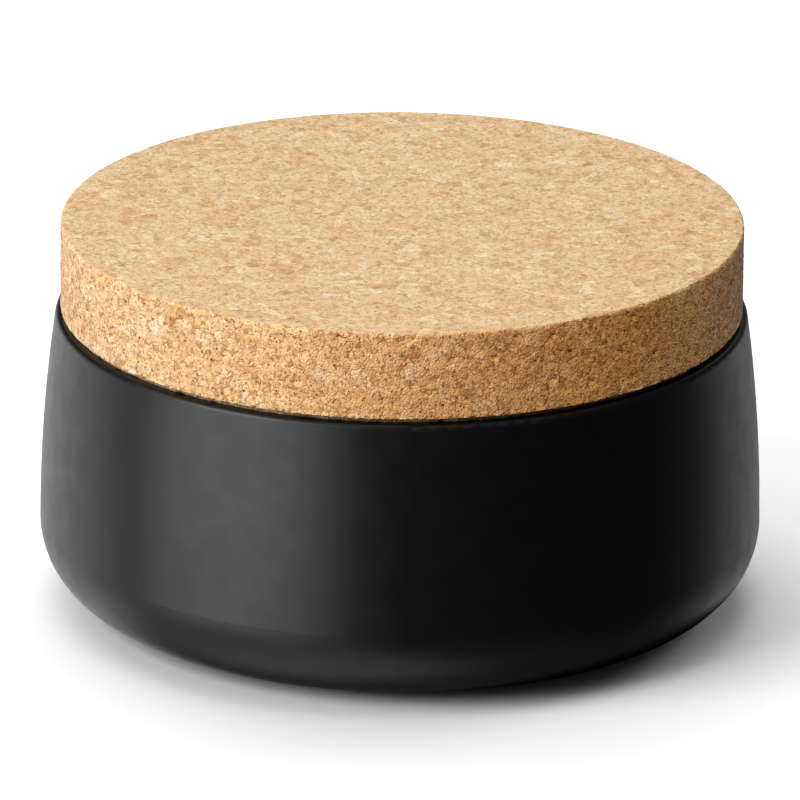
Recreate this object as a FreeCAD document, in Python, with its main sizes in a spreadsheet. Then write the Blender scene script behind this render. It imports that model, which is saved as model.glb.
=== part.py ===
import FreeCAD, Part
import Sketcher
import math
import os

# Squat stoneware canister with a cork lid that drops into its mouth.
# Millimetres, +Z up. The origin is on the axis, in the plane the foot ring stands on.

doc = FreeCAD.newDocument("canister")

# ---------------------------------------------------------------- sizes
SIZES = [
    # the jar's outside
    ("belly_radius", "84.7"),        # widest radius of the wall
    ("jar_height", "70.6"),          # table to the crest of the lip
    ("corner_radius", "19"),         # roll from the wall into the base
    ("wall_arc_radius", "370"),      # slight outward bow of the wall
    ("rim_inset", "3.5"),            # how far the rim stands inside the belly
    # lip, wall and floor
    ("wall_thickness", "5"),
    ("lip_outer_round", "1.4"),
    ("crest_width", "2.1"),          # flat between the lip's two rounds, the lid's seat
    ("inner_corner_radius", "13"),
    ("floor_height", "6.6"),         # top of the jar's floor above the table
    # foot ring
    ("foot_height", "0.9"),
    ("foot_inset", "2.2"),           # ring's outer edge inside the corner's lowest circle
    ("foot_width", "4.5"),
    ("foot_round", "0.35"),
    ("recess_height", "1.7"),        # underside within the ring, above the table
    # lid
    ("lid_inset", "1.2"),            # the lid's side stands inside the rim's outside
    ("lid_thickness", "22"),         # seat to top face
    ("seat_chamfer", "1.3"),
    ("lid_top_round", "0.5"),
    ("plug_clearance", "0.8"),       # radial gap between the plug and the mouth
    ("plug_depth", "8"),
    ("plug_chamfer", "1"),
]
DERIVED = [
    ("rim_radius", "=belly_radius - rim_inset"),
    ("corner_centre_radius", "=belly_radius - corner_radius"),
    ("crest_radius", "=rim_radius - lip_outer_round"),
    ("lip_inner_round", "=wall_thickness - lip_outer_round - crest_width"),
    ("inner_arc_radius", "=wall_arc_radius - wall_thickness"),
    ("foot_outer_radius", "=corner_centre_radius - foot_inset"),
    ("foot_inner_radius", "=foot_outer_radius - foot_width"),
    ("lid_radius", "=rim_radius - lid_inset"),
    ("plug_radius", "=rim_radius - wall_thickness - plug_clearance"),
]

sheet = doc.addObject("Spreadsheet::Sheet", "Sizes")
for row, (alias, value) in enumerate(SIZES + DERIVED, start=1):
    sheet.set("A%d" % row, alias)
    sheet.set("B%d" % row, value)
    sheet.setAlias("B%d" % row, alias)
doc.recompute()


def size(alias):
    return float(sheet.get(alias))


# ---------------------------------------------------------------- helpers
def new_body(name):
    body = doc.addObject("PartDesign::Body", name)
    body.Label = name
    return body


def section_sketch(body, name):
    """Sketch on the body's own XZ plane: sketch x is the radius, sketch y the height."""
    plane = next(f for f in body.Origin.OriginFeatures if f.Role == "XZ_Plane")
    sketch = body.newObject("Sketcher::SketchObject", name)
    sketch.AttachmentSupport = [(plane, "")]
    sketch.MapMode = "FlatFace"
    return sketch


def line(sketch, start, end):
    return sketch.addGeometry(
        Part.LineSegment(FreeCAD.Vector(*start, 0), FreeCAD.Vector(*end, 0)), False)


def arc(sketch, centre, radius, start_deg, end_deg):
    circle = Part.Circle(FreeCAD.Vector(*centre, 0), FreeCAD.Vector(0, 0, 1), radius)
    return sketch.addGeometry(
        Part.ArcOfCircle(circle, math.radians(start_deg), math.radians(end_deg)), False)


def tie(sketch, kind, *points):
    """Coincident or Tangent between pairs (edge, end, edge, end)."""
    for pair in points:
        sketch.addConstraint(Sketcher.Constraint(kind, *pair))


def drive(sketch, kind, alias, *where):
    """Named dimension bound to the sheet's cell of that alias."""
    if kind != "Radius":
        where = (-1, 1) + where          # measured from the sketch's origin
    index = sketch.addConstraint(Sketcher.Constraint(kind, *where, size(alias)))
    sketch.renameConstraint(index, alias)
    sketch.setExpression("Constraints." + alias, "Sizes." + alias)


def revolve(body, sketch, name):
    turned = body.newObject("PartDesign::Revolution", name)
    turned.Profile = sketch
    turned.ReferenceAxis = (sketch, ["V_Axis"])
    turned.Angle = 360
    body.Tip = turned
    doc.recompute()
    return turned


def circles(feature, height, *radii):
    """Names of the feature's circular edges at this height with one of these radii."""
    names = []
    for number, edge in enumerate(feature.Shape.Edges, start=1):
        curve = edge.Curve
        if isinstance(curve, Part.Circle) and abs(curve.Center.z - height) < 0.01:
            if any(abs(curve.Radius - radius) < 0.01 for radius in radii):
                names.append("Edge%d" % number)
    return names


def soften(body, base, kind, name, edges, alias):
    """Fillet or Chamfer on named edges, its size bound to the sheet."""
    feature = body.newObject("PartDesign::" + kind, name)
    feature.Base = (base, edges)
    feature.setExpression("Radius" if kind == "Fillet" else "Size", "Sizes." + alias)
    body.Tip = feature
    doc.recompute()
    return feature


def tangent_arc_centre(first, second, first_reach, second_reach):
    """Point at these distances from two points, on the side of the axis."""
    span = math.dist(first, second)
    along = (first_reach ** 2 - second_reach ** 2 + span ** 2) / (2 * span)
    off = math.sqrt(first_reach ** 2 - along ** 2)
    ux, uz = (second[0] - first[0]) / span, (second[1] - first[1]) / span
    return (first[0] + along * ux - off * uz, first[1] + along * uz + off * ux)


def heading(start, end):
    return math.degrees(math.atan2(end[1] - start[1], end[0] - start[0]))


# ---------------------------------------------------------------- jar
# One closed section: foot ring, corner arc, bowed wall arc, lip, and the inner wall,
# which shares the wall arc's centre so that the wall keeps its thickness.
jar = new_body("jar")
section = section_sketch(jar, "JarSection")

corner = (size("corner_centre_radius"), size("foot_height") + size("corner_radius"))
lip = (size("crest_radius"), size("jar_height") - size("lip_outer_round"))
bow = tangent_arc_centre(corner, lip,
                         size("wall_arc_radius") - size("corner_radius"),
                         size("wall_arc_radius") - size("lip_outer_round"))
inner_lip_x = size("crest_radius") - size("crest_width")
inner_lip = (inner_lip_x, size("jar_height") - size("lip_inner_round"))
inner_corner_z = size("floor_height") + size("inner_corner_radius")
inner_corner = (size("belly_radius") - size("wall_thickness") - size("inner_corner_radius"),
                inner_corner_z)
low, high = heading(bow, corner), heading(bow, lip)
inner_low, inner_high = heading(bow, inner_corner), heading(bow, inner_lip)

ring_in, ring_out = size("foot_inner_radius"), size("foot_outer_radius")
underside, base = size("recess_height"), size("foot_height")
crest, floor = size("jar_height"), size("floor_height")

g_under = line(section, (0, underside), (ring_in, underside))
g_ring_in = line(section, (ring_in, underside), (ring_in, 0))
g_ring = line(section, (ring_in, 0), (ring_out, 0))
g_ring_out = line(section, (ring_out, 0), (ring_out, base))
g_base = line(section, (ring_out, base), (corner[0], base))
g_corner = arc(section, corner, size("corner_radius"), -90, low)
g_wall = arc(section, bow, size("wall_arc_radius"), low, high)
g_lip = arc(section, lip, size("lip_outer_round"), high, 90)
g_crest = line(section, (lip[0], crest), (inner_lip_x, crest))
g_lip_in = arc(section, inner_lip, size("lip_inner_round"), 90, 180 + inner_high)
g_wall_in = arc(section, bow, size("inner_arc_radius"), inner_low, inner_high)
g_corner_in = arc(section, inner_corner, size("inner_corner_radius"), -90, inner_low)
g_floor = line(section, (inner_corner[0], floor), (0, floor))
g_axis = line(section, (0, floor), (0, underside))

for flat in (g_under, g_ring, g_base, g_crest, g_floor):
    section.addConstraint(Sketcher.Constraint("Horizontal", flat))
for upright in (g_ring_in, g_ring_out):
    section.addConstraint(Sketcher.Constraint("Vertical", upright))
section.addConstraint(Sketcher.Constraint("PointOnObject", g_ring, 1, -1))
section.addConstraint(Sketcher.Constraint("PointOnObject", g_under, 1, -2))
section.addConstraint(Sketcher.Constraint("PointOnObject", g_floor, 2, -2))
tie(section, "Coincident",
    (g_under, 2, g_ring_in, 1), (g_ring_in, 2, g_ring, 1), (g_ring, 2, g_ring_out, 1),
    (g_ring_out, 2, g_base, 1), (g_floor, 2, g_axis, 1), (g_axis, 2, g_under, 1),
    (g_wall_in, 3, g_wall, 3))
tie(section, "Tangent",
    (g_base, 2, g_corner, 1), (g_corner, 2, g_wall, 1), (g_wall, 2, g_lip, 1),
    (g_lip, 2, g_crest, 1), (g_crest, 2, g_lip_in, 1), (g_lip_in, 2, g_wall_in, 2),
    (g_wall_in, 1, g_corner_in, 2), (g_corner_in, 1, g_floor, 1))
drive(section, "DistanceX", "foot_inner_radius", g_ring, 1)
drive(section, "DistanceX", "foot_outer_radius", g_ring, 2)
drive(section, "DistanceX", "corner_centre_radius", g_corner, 3)
drive(section, "DistanceX", "crest_radius", g_lip, 3)
drive(section, "DistanceY", "recess_height", g_under, 1)
drive(section, "DistanceY", "foot_height", g_base, 1)
drive(section, "DistanceY", "floor_height", g_floor, 2)
drive(section, "DistanceY", "jar_height", g_crest, 1)
for edge, alias in ((g_corner, "corner_radius"), (g_wall, "wall_arc_radius"),
                    (g_lip, "lip_outer_round"), (g_lip_in, "lip_inner_round"),
                    (g_wall_in, "inner_arc_radius"), (g_corner_in, "inner_corner_radius")):
    drive(section, "Radius", alias, edge)

vessel = revolve(jar, section, "Vessel")
soften(jar, vessel, "Fillet", "FootRound", circles(vessel, 0, ring_in, ring_out), "foot_round")

# ---------------------------------------------------------------- lid
# Built in its own frame with the seat at z = 0, then set on the crest of the lip.
lid = new_body("lid")
lid.setExpression("Placement.Base.z", "Sizes.jar_height")
half = section_sketch(lid, "LidSection")

side, top = size("lid_radius"), size("lid_thickness")
plug, sunk = size("plug_radius"), -size("plug_depth")

h_top = line(half, (0, top), (side, top))
h_side = line(half, (side, top), (side, 0))
h_seat = line(half, (side, 0), (plug, 0))
h_plug = line(half, (plug, 0), (plug, sunk))
h_bottom = line(half, (plug, sunk), (0, sunk))
h_axis = line(half, (0, sunk), (0, top))
for flat in (h_top, h_seat, h_bottom):
    half.addConstraint(Sketcher.Constraint("Horizontal", flat))
for upright in (h_side, h_plug):
    half.addConstraint(Sketcher.Constraint("Vertical", upright))
half.addConstraint(Sketcher.Constraint("PointOnObject", h_seat, 1, -1))
half.addConstraint(Sketcher.Constraint("PointOnObject", h_top, 1, -2))
half.addConstraint(Sketcher.Constraint("PointOnObject", h_bottom, 2, -2))
tie(half, "Coincident",
    (h_top, 2, h_side, 1), (h_side, 2, h_seat, 1), (h_seat, 2, h_plug, 1),
    (h_plug, 2, h_bottom, 1), (h_bottom, 2, h_axis, 1), (h_axis, 2, h_top, 1))
drive(half, "DistanceX", "lid_radius", h_seat, 1)
drive(half, "DistanceX", "plug_radius", h_seat, 2)
drive(half, "DistanceY", "lid_thickness", h_top, 1)
index = half.addConstraint(Sketcher.Constraint("DistanceY", h_bottom, 2, -1, 1, -sunk))
half.renameConstraint(index, "plug_depth")
half.setExpression("Constraints.plug_depth", "Sizes.plug_depth")

disc = revolve(lid, half, "Disc")
seat = soften(lid, disc, "Chamfer", "SeatChamfer", circles(disc, 0, side), "seat_chamfer")
tip = soften(lid, seat, "Chamfer", "PlugChamfer", circles(seat, sunk, plug), "plug_chamfer")
soften(lid, tip, "Fillet", "TopRound", circles(tip, top, side), "lid_top_round")

# ---------------------------------------------------------------- checks and files
doc.recompute()
for item in doc.Objects:
    if "Invalid" in item.State or "Error" in item.State:
        raise RuntimeError("%s did not rebuild: %s" % (item.Name, item.State))

os.makedirs("parts", exist_ok=True)
for body in (jar, lid):
    shape = body.Shape
    if shape.isNull() or not shape.isValid() or len(shape.Solids) != 1:
        raise RuntimeError("%s is not one valid solid" % body.Label)
    shape.exportStep("parts/%s.step" % body.Label)
    box = shape.BoundBox
    print("%s  r %.3f  z %.3f to %.3f  volume %.1f cm3"
          % (body.Label, box.XMax, box.ZMin, box.ZMax, shape.Volume / 1000))
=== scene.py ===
import math

import bpy
import numpy as np
from mathutils import Matrix, Vector


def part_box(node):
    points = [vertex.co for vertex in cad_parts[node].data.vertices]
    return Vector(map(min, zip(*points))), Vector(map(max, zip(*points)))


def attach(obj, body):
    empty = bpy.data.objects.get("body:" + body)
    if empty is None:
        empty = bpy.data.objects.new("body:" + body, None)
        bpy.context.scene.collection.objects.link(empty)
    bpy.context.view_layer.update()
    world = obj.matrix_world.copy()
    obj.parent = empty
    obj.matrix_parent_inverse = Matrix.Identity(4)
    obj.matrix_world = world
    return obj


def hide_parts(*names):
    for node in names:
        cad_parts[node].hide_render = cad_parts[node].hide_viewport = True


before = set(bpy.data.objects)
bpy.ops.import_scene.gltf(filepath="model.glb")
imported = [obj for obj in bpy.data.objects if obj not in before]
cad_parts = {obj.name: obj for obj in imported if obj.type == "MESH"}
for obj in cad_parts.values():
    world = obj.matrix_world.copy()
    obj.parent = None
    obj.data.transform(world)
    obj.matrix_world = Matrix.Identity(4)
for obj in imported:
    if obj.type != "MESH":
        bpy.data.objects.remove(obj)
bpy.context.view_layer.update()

MM = 0.001

# pieces and places from the frame
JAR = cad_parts["jar"]
JAR_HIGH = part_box("jar")[1]
LID_LOW, LID_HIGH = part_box("lid")
SEAT_Z = JAR_HIGH.z                       # crest of the lip, where the lid's disc rests

# the lid's own sizes
PLUG_RADIUS = 75.4 * MM
PLUG_CHAMFER = 1.0 * MM
SEAT_CHAMFER = 1.3 * MM                   # around the disc's lower edge
TOP_ROUND = 0.5 * MM


# ------------------------------------------------------------------ node helpers
class Nodes:
    """One material with its Principled shader, and short calls that add nodes to it.

    Most calls return a (node, output) pair, which the others take as a value."""

    MIX_FACTOR, MIX_COLOURS, MIX_RESULT = 0, (6, 7), 2      # a Mix node's sockets for colours

    def __init__(self, name):
        self.material = bpy.data.materials.new(name)
        self.material.use_nodes = True
        self.tree = self.material.node_tree
        self.tree.nodes.clear()
        out = self.add("ShaderNodeOutputMaterial")
        self.shader = self.add("ShaderNodeBsdfPrincipled")
        self.link(self.shader, "BSDF", out, "Surface")
        self.place = self.add("ShaderNodeTexCoord")

    def add(self, kind, **settings):
        node = self.tree.nodes.new(kind)
        for key, value in settings.items():
            setattr(node, key, value)
        return node

    def link(self, source, output, target, name):
        self.tree.links.new(source.outputs[output], target.inputs[name])

    def feed(self, value, target, name):
        """A (node, output) pair is linked; anything else is set on the socket."""
        if isinstance(value, tuple) and isinstance(value[0], bpy.types.Node):
            self.link(*value, target, name)
        else:
            target.inputs[name].default_value = value

    def finish(self, roughness, specular):
        """Sets these two, each a number or a pair, and gives the material."""
        self.feed(roughness, self.shader, "Roughness")
        self.feed(specular, self.shader, "Specular IOR Level")
        return self.material

    def height_of(self, coordinate):
        """The Z part of a texture coordinate, such as Object or Normal."""
        parts = self.add("ShaderNodeSeparateXYZ")
        self.link(self.place, coordinate, parts, "Vector")
        return parts, "Z"

    def math(self, operation, *values, clamp=False):
        node = self.add("ShaderNodeMath", operation=operation, use_clamp=clamp)
        for index, value in enumerate(values):
            self.feed(value, node, index)
        return node, "Value"

    def between(self, share, low, high):
        """Low where share is 0, high where it is 1."""
        return self.math("MULTIPLY_ADD", share, high - low, low)

    def rise(self, value, start, end):
        """0 up to start, 1 from end, and even in between."""
        slope = 1 / (end - start)
        return self.math("MULTIPLY_ADD", value, slope, -start * slope, clamp=True)

    def ramp(self, value, stops):
        """Colour ramp; stops are (position, colour) with colours as rgb or one grey."""
        node = self.add("ShaderNodeValToRGB")
        line = node.color_ramp.elements
        while len(line) < len(stops):
            line.new(1.0)
        for element, (position, colour) in zip(line, stops):
            if isinstance(colour, float):
                colour = (colour,) * 3
            element.position = position
            element.color = (*colour, 1)
        self.feed(value, node, "Fac")
        return node, "Color"

    def mix(self, share, *colours, blend="MIX"):
        """Two colours, each an rgb or a pair, mixed by share."""
        node = self.add("ShaderNodeMix", data_type="RGBA", blend_type=blend)
        self.feed(share, node, self.MIX_FACTOR)
        for socket, colour in zip(self.MIX_COLOURS, colours):
            if isinstance(colour[0], float):
                colour = (*colour, 1)
            self.feed(colour, node, socket)
        return node, self.MIX_RESULT

    def noise(self, size_mm, detail, output="Fac"):
        """Noise whose coarsest lumps are about size_mm wide."""
        node = self.add("ShaderNodeTexNoise")
        node.inputs["Scale"].default_value = 1 / (size_mm * MM)
        node.inputs["Detail"].default_value = detail
        self.link(self.place, "Object", node, "Vector")
        return node, output

    def cells(self, size_mm, where=None, feature="F1"):
        """Voronoi node with cells about size_mm apart; where is a (node, output) pair."""
        node = self.add("ShaderNodeTexVoronoi", feature=feature)
        node.inputs["Scale"].default_value = 1 / (size_mm * MM)
        self.feed(where or (self.place, "Object"), node, "Vector")
        return node

    def drawn(self, cells, channel):
        """A random number for each cell of a Voronoi node: its Red, Green or Blue."""
        parts = self.add("ShaderNodeSeparateColor")
        self.link(cells, "Color", parts, "Color")
        return parts, channel

    def warp(self, size_mm, reach_mm):
        """Object coordinates pushed about by noise, so that cells lose their straight sides."""
        centred = self.add("ShaderNodeVectorMath", operation="SUBTRACT")
        self.feed(self.noise(size_mm, 1, "Color"), centred, 0)
        self.feed((0.5, 0.5, 0.5), centred, 1)
        scaled = self.add("ShaderNodeVectorMath", operation="SCALE")
        self.link(centred, "Vector", scaled, 0)
        self.feed(reach_mm * MM, scaled, "Scale")
        moved = self.add("ShaderNodeVectorMath", operation="ADD")
        self.link(self.place, "Object", moved, 0)
        self.link(scaled, "Vector", moved, 1)
        return moved, "Vector"

    def bump(self, height, depth_mm, strength):
        """Bump on the shader's normal."""
        node = self.add("ShaderNodeBump")
        node.inputs["Strength"].default_value = strength
        node.inputs["Distance"].default_value = depth_mm * MM
        self.feed(height, node, "Height")
        self.link(node, "Normal", self.shader, "Normal")


# ------------------------------------------------------------------ materials
def glaze():
    """Satin-matte black glaze, with bare clay where the foot ring was wiped."""
    n = Nodes("satin_black_glaze")
    height = n.height_of("Object")

    crest = n.rise(height, SEAT_Z - 0.275 * MM, SEAT_Z - 0.025 * MM)
    wiped, ragged = 0.05 * MM, 0.5 * MM   # least height of the bare clay, and how much it varies
    bare = n.math("LESS_THAN", height, n.math("MULTIPLY_ADD", n.noise(3, 3), ragged, wiped))

    black = (0.0015, 0.0015, 0.0016)
    clay = n.ramp(n.noise(0.4, 2), [(0.3, (0.16, 0.12, 0.09)), (0.7, (0.26, 0.20, 0.15))])
    n.feed(n.mix(bare, black, clay), n.shader, "Base Color")

    satin = n.ramp(n.noise(6, 4), [(0.3, 0.38), (0.7, 0.45)])
    smooth_crest, dry_clay = (0.28,) * 3, (0.95,) * 3
    rough = n.mix(bare, n.mix(crest, satin, smooth_crest), dry_clay)
    n.bump(n.noise(0.5, 3), depth_mm=0.01, strength=0.3)
    return n.finish(roughness=rough, specular=0.5)


LARGE, SMALL, TINY = 2.7, 1.25, 0.55      # widths of the cork's granules, in mm


def cork():
    """Agglomerated cork: pressed granules of three sizes, brown crevices and dark specks.

    The sanded top is calmer than the turned side, which shows more of its gaps. The top's colour is
    painted darker and less red than the side's: painted shade that offsets the stronger, warmer
    lamplight on the top."""
    n = Nodes("agglomerated_cork")
    up = n.height_of("Normal")
    side = n.ramp(up, [(0.55, 1.0), (0.9, 0.0)])          # 1 on the turned side, 0 on the top

    here = n.warp(0.9, 0.7)
    small, tiny = n.cells(SMALL, here), n.cells(TINY)
    colour = granule_tones(n, side, n.cells(LARGE, here), small, tiny)
    gap = crevices(n, here)
    brown = (0.20, 0.078, 0.026)
    colour = n.mix(n.math("MULTIPLY", gap, n.between(side, 0.46, 0.68)), colour, brown)
    speck = specks(n)
    bark = (0.07, 0.035, 0.015)
    colour = n.mix(n.math("MULTIPLY", speck, n.between(side, 0.4, 0.85)), colour, bark)
    # painted shade: the top is made darker and less red than the side, to offset the stronger, warmer
    # lamplight that falls on it
    painted_top_shade = n.ramp(up, [(0.55, (1.0, 1.04, 1.15)), (0.9, (0.765, 0.90, 1.12))])
    n.feed(n.mix(1.0, colour, painted_top_shade, blend="MULTIPLY"), n.shader, "Base Color")

    # granules stand up as low domes, and gaps and specks are sunk
    fall = n.math("MULTIPLY_ADD", (small, "Distance"), 0.6, (tiny, "Distance"))
    fall = n.math("MULTIPLY_ADD", n.math("MAXIMUM", gap, speck), 0.3, fall)
    n.bump(n.math("MULTIPLY", fall, n.between(side, -0.3, -0.8)), depth_mm=0.2, strength=1.0)
    return n.finish(roughness=0.85, specular=0.2)


def granule_tones(n, side, large, small, tiny):
    """Each granule has one tone, darkened or lightened by the smaller ones that lie on it."""
    tones = n.ramp(n.drawn(large, "Red"), [
        (0.00, (0.61, 0.36, 0.175)), (0.07, (0.69, 0.445, 0.22)), (0.22, (0.72, 0.48, 0.245)),
        (0.50, (0.74, 0.51, 0.265)), (0.80, (0.755, 0.54, 0.295)), (0.94, (0.78, 0.575, 0.33)),
        (1.00, (0.82, 0.645, 0.41))])
    shades = n.ramp(n.drawn(small, "Green"), [
        (0.00, (0.64, 0.51, 0.42)), (0.14, (0.88, 0.83, 0.78)), (0.50, (0.98, 0.98, 0.98)),
        (0.90, (1.09, 1.10, 1.11)), (1.00, (1.20, 1.25, 1.32))])
    grains = n.ramp(n.drawn(tiny, "Blue"), [
        (0.00, (0.26, 0.18, 0.12)), (0.03, (0.50, 0.41, 0.33)), (0.08, (0.84, 0.82, 0.80)),
        (0.50, (1.0, 1.0, 1.0)), (1.00, (1.12, 1.13, 1.14))])
    colour = n.mix(n.between(side, 0.55, 0.85), tones, shades, blend="MULTIPLY")
    colour = n.mix(n.between(side, 0.45, 0.50), colour, grains, blend="MULTIPLY")
    patches = n.ramp(n.noise(14, 2), [
        (0.32, (0.95, 0.86, 0.79)), (0.50, (1.0, 1.0, 1.0)), (0.68, (1.0, 1.03, 1.05))])
    return n.mix(0.4, colour, patches, blend="MULTIPLY")


def crevices(n, here):
    """Gaps between granules, which open only in patches: 1 in the gap and 0 beside it."""
    found = []
    for size, patch_mm, full, ended in ((SMALL, 0.9, 0.03, 0.12), (LARGE, 1.9, 0.02, 0.06)):
        edge = n.cells(size, here, "DISTANCE_TO_EDGE")
        line = n.ramp((edge, "Distance"), [(full, 1.0), (ended, 0.0)])
        opened = n.ramp(n.noise(patch_mm, 1), [(0.53, 0.0), (0.59, 1.0)])
        found.append(n.math("MULTIPLY", line, opened))
    return n.math("MAXIMUM", *found)


def specks(n):
    """Specks of bark at the middle of a quarter of the cells: 1 in the speck and 0 beside it."""
    cells = n.cells(1.5, n.warp(0.5, 0.6))
    chosen = n.ramp(n.drawn(cells, "Blue"), [(0.24, 1.0), (0.26, 0.0)])
    middle = n.ramp((cells, "Distance"), [(0.15, 1.0), (0.24, 0.0)])
    return n.math("MULTIPLY", middle, chosen)


def plain(name, grey, roughness, specular):
    """One even grey, for the stage."""
    n = Nodes(name)
    n.feed((grey, grey, grey, 1), n.shader, "Base Color")
    return n.finish(roughness, specular)


def finish_with(piece, material):
    piece.data.materials.clear()
    piece.data.materials.append(material)


def placed(name, data):
    """A new object in the scene."""
    piece = bpy.data.objects.new(name, data)
    bpy.context.scene.collection.objects.link(piece)
    return piece


# ------------------------------------------------------------------ relief of the cork
GRANULE_MM, CRUMB_MM, PIT_MM = 2.8, 1.5, 2.6                # widths of the relief's cells
LEVEL_MM, GROOVE_MM, CRUMBS_MM = 0.12, 0.14, 0.12           # greatest depth of each kind of relief
PITS_MM, CHIPS_MM = 0.60, 0.25
PIT_SHARE, CHIP_SHARE = 0.08, 0.25                          # of the cells that have one

# hash constants: large odd numbers that keep neighbouring cells and seeds apart
CELL_STEPS = (73856093, 19349663, 83492791)
SEED_STEP = 2654435761
STIR = 0xBF58476D1CE4E5B9


def hashed(cells, seed):
    """Four repeatable numbers from 0 to 1 for each integer cell."""
    x, y, z = (cells[:, axis].astype(np.uint64) * np.uint64(step)
               for axis, step in enumerate(CELL_STEPS))
    key = x ^ y ^ z ^ np.uint64(seed * SEED_STEP)
    numbers = []
    for _ in range(4):
        key ^= key >> np.uint64(29)
        key *= np.uint64(STIR)
        key ^= key >> np.uint64(32)
        numbers.append((key >> np.uint64(11)).astype(float) / 2 ** 53)
    return numbers


def granules(points, size, seed):
    """Cells about size wide: distance to the cell's point, gap to the next, and its number."""
    base = np.floor(points / size).astype(np.int64)
    near = np.full(len(points), np.inf)
    second = near.copy()
    number = np.zeros(len(points))
    for step in np.ndindex(3, 3, 3):
        cell = base + np.array(step) - 1
        *offset, value = hashed(cell, seed)
        away = np.linalg.norm(cell + np.stack(offset, 1) - points / size, axis=1)
        closer = away < near
        second = np.where(closer, near, np.minimum(second, away))
        near = np.where(closer, away, near)
        number = np.where(closer, value, number)
    return near * size, (second - near) * size, number


def fade(value, start, end):
    """Smooth step from 0 at start to 1 at end."""
    t = np.clip((value - start) / (end - start), 0, 1)
    return t * t * (3 - 2 * t)


def cork_depth(points, edge):
    """How far the surface lies inside the lid's outline, in mm; edge is 1 at the top's rim."""
    slow_wave = 0.35 * np.sin(2.3 * points[:, [1, 2, 0]])
    quick_wave = 0.15 * np.sin(5.1 * points[:, [2, 0, 1]])
    points = points + (slow_wave + quick_wave)

    _, gap, number = granules(points, GRANULE_MM, seed=11)
    levels = LEVEL_MM * number * fade(gap, 0, 0.6)
    grooves = GROOVE_MM * (1 - fade(gap, 0, 0.55))
    _, gap, number = granules(points, CRUMB_MM, seed=5)
    crumbs = CRUMBS_MM * number * fade(gap, 0, 0.5)
    near, _, number = granules(points, PIT_MM, seed=23)
    pits = PITS_MM * (number < PIT_SHARE) * (1 - fade(near, 0.35, 1.0))
    chips = CHIPS_MM * (number > 1 - CHIP_SHARE) * edge * (1 - fade(near, 0.7, 1.6))
    return levels + grooves + crumbs + pits + chips


# ------------------------------------------------------------------ cork lid
TOP_RINGS = 126
FINE = 6 * TOP_RINGS                      # points around the disc
COARSE = 126                              # points around the plug
ROW_MM = 0.62                             # between rings down the disc's side
TOP_RELIEF, CHAMFER_RELIEF = 0.35, 0.8    # shares of the side's relief


def ring(radius, height, count):
    turn = np.arange(count) * (2 * math.pi / count)
    return np.stack([radius * np.cos(turn), radius * np.sin(turn), np.full(count, height)], 1)


def disc(rings, radius, height):
    """Rings of 6, 12, 18 ... points about a centre point: the points, the triangles between
    them, and the number of the outer ring's first point."""
    points = [np.array([[0.0, 0.0, height]])]
    starts = [0]
    for k in range(1, rings + 1):
        starts.append(starts[-1] + (6 * (k - 1) or 1))
        points.append(ring(radius * k / rings, height, 6 * k))
    faces = [(0, 1 + i, 1 + (i + 1) % 6) for i in range(6)]
    for k in range(2, rings + 1):
        inner, outer = starts[k - 1], starts[k]
        n_inner, n_outer = 6 * (k - 1), 6 * k
        for sector in range(6):
            for i in range(k):
                a = outer + (sector * k + i) % n_outer
                b = outer + (sector * k + i + 1) % n_outer
                c = inner + (sector * (k - 1) + i) % n_inner
                faces.append((a, b, c))
                if i < k - 1:
                    faces.append((b, inner + (sector * (k - 1) + i + 1) % n_inner, c))
    return np.concatenate(points), faces, starts[-1]


def joined(upper, n_upper, lower, n_lower):
    """Triangles between two rings, where one has a whole number of times the other's points."""
    faces = []
    steps = max(n_upper, n_lower)
    for i in range(steps):
        u0, u1 = (upper + ((i + s) * n_upper // steps) % n_upper for s in (0, 1))
        l0, l1 = (lower + ((i + s) * n_lower // steps) % n_lower for s in (0, 1))
        if l0 != l1:
            faces.append((u0, l0, l1))
        if u0 != u1:
            faces.append((u0, l1, u1))
    return faces


def lid_rows():
    """Rings down the lid's outline, from its softened upper edge to the plug's end.

    Each is a radius and a height in mm, the way the surface faces there in degrees from
    straight up, a number of points, and a share of the relief."""
    radius, top, seat = LID_HIGH.x / MM, LID_HIGH.z / MM, SEAT_Z / MM
    plug, plug_end = PLUG_RADIUS / MM, LID_LOW.z / MM
    soft, bevel, cut = TOP_ROUND / MM, SEAT_CHAMFER / MM, PLUG_CHAMFER / MM

    inset = soft * (1 - math.sin(math.radians(45)))
    rows = [(radius - inset, top - inset, 45, FINE, 1)]
    start, end = top - soft, seat + bevel
    steps = round((start - end) / ROW_MM)
    rows += [(radius, start + (end - start) * k / steps, 90, FINE, 1) for k in range(steps + 1)]
    rows += [(radius - bevel * k / 2, end - bevel * k / 2, 135, FINE, CHAMFER_RELIEF) for k in (1, 2)]
    rows += [(plug, seat, 180, COARSE, 0),
             (plug, plug_end + cut, 90, COARSE, 0),
             (plug - cut, plug_end, 135, COARSE, 0)]
    return rows


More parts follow.
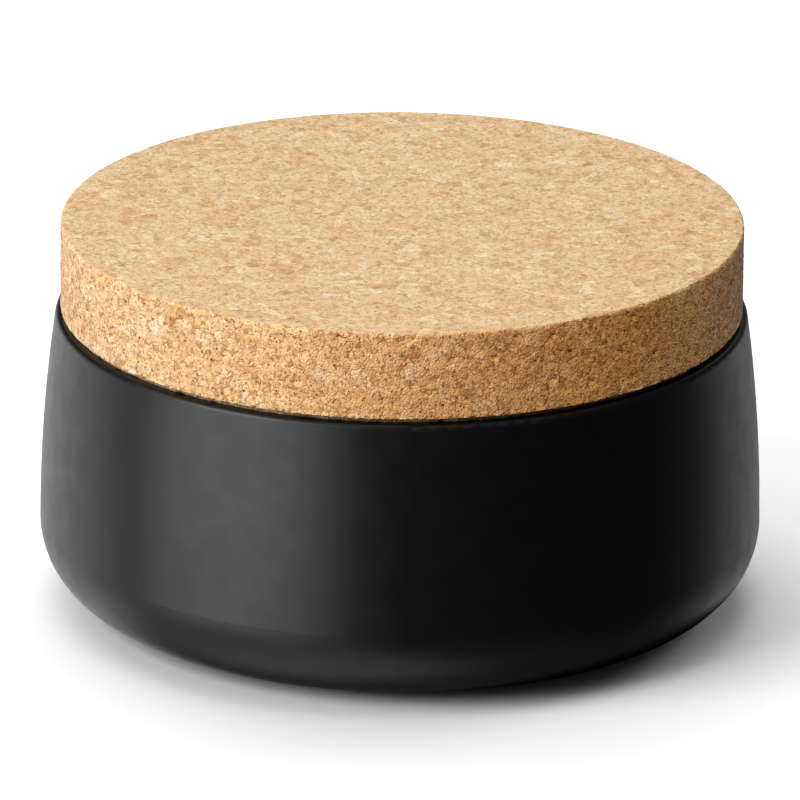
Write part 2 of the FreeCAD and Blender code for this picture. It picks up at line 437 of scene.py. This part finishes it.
def lid_surface():
    """Points in mm and triangles of the whole lid, with its relief pressed inward."""
    radius, top = LID_HIGH.x / MM, LID_HIGH.z / MM
    flat, faces, last = disc(TOP_RINGS, radius - TOP_ROUND / MM, top)
    points = [flat]
    inward = [np.tile([0.0, 0.0, -1.0], (len(flat), 1))]
    relief = [np.full(len(flat), TOP_RELIEF)]
    count, size = FINE, len(flat)
    for row_radius, height, lean, columns, share in lid_rows():
        circle = ring(row_radius, height, columns)
        across, along = math.sin(math.radians(lean)), math.cos(math.radians(lean))
        points.append(circle)
        inward.append(-(circle / row_radius * [across, across, 0] + [0, 0, along]))
        relief.append(np.full(columns, share))
        faces += joined(last, count, size, columns)
        last, count = size, columns
        size += columns

    # the plug's end shares its outer ring with the last row
    under, under_faces, rim = disc(COARSE // 6, (PLUG_RADIUS - PLUG_CHAMFER) / MM, LID_LOW.z / MM)
    faces += [tuple(size + i if i < rim else last + i - rim for i in reversed(face))
              for face in under_faces]
    points.append(under[:rim])
    inward.append(np.tile([0.0, 0.0, 1.0], (rim, 1)))
    relief.append(np.zeros(rim))

    points = np.concatenate(points)
    from_rim = np.hypot(np.hypot(points[:, 0], points[:, 1]) - radius, points[:, 2] - top)
    edge = 1 - fade(from_rim, 0.6, 2.2)
    depth = cork_depth(points, edge) * np.concatenate(relief)
    return points + np.concatenate(inward) * depth[:, None], faces


def lid():
    """The cork disc and its plug, with granules, pits and a chipped rim modelled in the mesh."""
    points, faces = lid_surface()
    mesh = bpy.data.meshes.new("cork_lid")
    mesh.from_pydata((points * MM).tolist(), [], faces)
    mesh.validate()
    mesh.shade_smooth()
    mesh.set_sharp_from_angle(angle=math.radians(40))
    piece = placed("cork_lid", mesh)
    finish_with(piece, cork())
    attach(piece, "root")
    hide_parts("lid")
    return piece


# ------------------------------------------------------------------ stage
def square(half):
    return [(-half, -half), (half, -half), (half, half), (-half, half)]


def circle_outline(radius, centre_x, corners=48):
    turns = [2 * math.pi * k / corners for k in range(corners)]
    return [(radius * math.cos(turn) + centre_x, radius * math.sin(turn)) for turn in turns]


def flat_sheet(name, outline, height, material, unseen_by):
    """A level sheet of the stage, which these kinds of ray pass through."""
    mesh = bpy.data.meshes.new(name)
    mesh.from_pydata([(x, y, height) for x, y in outline], [], [tuple(range(len(outline)))])
    piece = placed(name, mesh)
    finish_with(piece, material)
    for ray in unseen_by:
        setattr(piece, "visible_" + ray, False)
    return piece


def floor():
    """Pale floor, and two black sheets just under it that the camera doesn't see.

    The glaze reflects cards in place of the floor, and foot_shade close to its foot.
    dark_ground keeps bounce light from coming up from below."""
    shade_radius, shade_shift = 0.84 * JAR_HIGH.x, 13 * MM
    gap = 0.1 * MM                        # from each sheet down to the next
    pale = plain("pale_floor", grey=0.93, roughness=0.7, specular=0.2)
    black = plain("shade_black", grey=0.0, roughness=1.0, specular=0.0)
    ground = flat_sheet("floor", square(4.0), 0, pale, ("glossy", "diffuse"))
    flat_sheet("foot_shade", circle_outline(shade_radius, shade_shift), -gap, black,
               ("camera", "diffuse", "shadow"))
    flat_sheet("dark_ground", square(1.5), -2 * gap, black, ("camera", "glossy", "shadow"))
    return ground


LAMPS_AIM = Vector((0, 0, 0.05))          # about the middle of the canister
CARD_DISTANCE = 1.5


def direction(azimuth, elevation):
    """From the canister. Azimuth 0 points at the camera's side, positive turns to the left."""
    a, e = math.radians(azimuth), math.radians(elevation)
    return Vector((-math.sin(a) * math.cos(e), -math.cos(a) * math.cos(e), math.sin(e)))


def aimed(position, target):
    turn = (target - position).to_track_quat("-Z", "Y")
    return Matrix.Translation(position) @ turn.to_matrix().to_4x4()


def softbox(name, azimuth, elevation, distance, size, power, colour=(1, 1, 1)):
    """Area light that faces the canister."""
    light = bpy.data.lights.new(name, "AREA")
    light.shape = "RECTANGLE"
    light.size, light.size_y = size
    light.energy = power
    light.color = colour
    lamp = placed(name, light)
    lamp.matrix_world = aimed(direction(azimuth, elevation) * distance, LAMPS_AIM)
    return lamp


def fill(name, azimuth, elevation, distance, size, power, colour=(1, 1, 1), only=None):
    """A softbox that glossy surfaces don't show, for all pieces or for one only."""
    lamp = softbox(name, azimuth, elevation, distance, size, power, colour)
    lamp.visible_glossy = False
    if only:
        receivers = bpy.data.collections.new(name + "_receivers")
        receivers.objects.link(only)
        lamp.light_linking.receiver_collection = receivers


def card(name, azimuth, elevation, size, radiance):
    """A card that only shows as a reflection in glossy surfaces."""
    width, height = size
    lamp = softbox(name, azimuth, elevation, CARD_DISTANCE, size, radiance * math.pi * width * height)
    lamp.visible_diffuse = False


def lights(ground, cork_lid):
    """After each name come the azimuth and elevation, and a lamp's distance in metres."""
    softbox("key_left", 58, 34, 2.2, size=(1.3, 1.3), power=37.5)
    softbox("overhead", 180, 80, 2.0, size=(1.4, 1.4), power=8)
    fill("low_left", 80, 7, 2.0, size=(0.8, 0.5), power=18)
    fill("back", 158, 44, 2.0, size=(2.0, 1.2), power=14.5)
    fill("rim_right", -124, 30, 2.0, size=(0.8, 0.8), power=10)
    fill("floor_wash", 160, 80, 2.0, size=(2.4, 2.4), power=26.5, only=ground)
    fill("warm_fill", 6, 48, 2.0, size=(0.7, 0.4), power=27, colour=(1.0, 0.60, 0.22), only=cork_lid)
    card("card_left", 53, -5, size=(1.55, 1.05), radiance=3.15)
    card("card_left_low", 48, -60, size=(1.7, 1.5), radiance=0.75)
    card("card_back_left", 136, -18, size=(1.9, 1.4), radiance=1.15)
    card("card_back_right", -145, -18, size=(1.4, 1.05), radiance=0.56)
    card("card_rim_right", -160, 33, size=(0.9, 0.35), radiance=0.45)
    card("card_front_low", -15, -55, size=(2.2, 1.2), radiance=0.08)


def studio_air():
    """A faint, even white from all around."""
    world = bpy.data.worlds.new("studio")
    bpy.context.scene.world = world
    world.use_nodes = True
    background = world.node_tree.nodes["Background"]
    background.inputs["Color"].default_value = (1, 1, 1, 1)
    background.inputs["Strength"].default_value = 0.06


def camera():
    """Long lens from the front, 20 degrees up, turned by half a degree about its own axis."""
    elevation, distance, roll = 19.73, 3.2, 0.50
    aim = Vector((-0.0002, 0, 0.0479))
    lens = bpy.data.cameras.new("camera")
    lens.sensor_width = 36
    lens.lens = 613.1
    lens.clip_end = 20
    view = placed("camera", lens)
    position = aim + direction(0, elevation) * distance
    view.matrix_world = aimed(position, aim) @ Matrix.Rotation(math.radians(roll), 4, "Z")
    bpy.context.scene.camera = view


# ------------------------------------------------------------------ put together
bpy.context.scene.view_settings.view_transform = "Standard"
camera()
studio_air()
finish_with(JAR, glaze())
lights(floor(), lid())
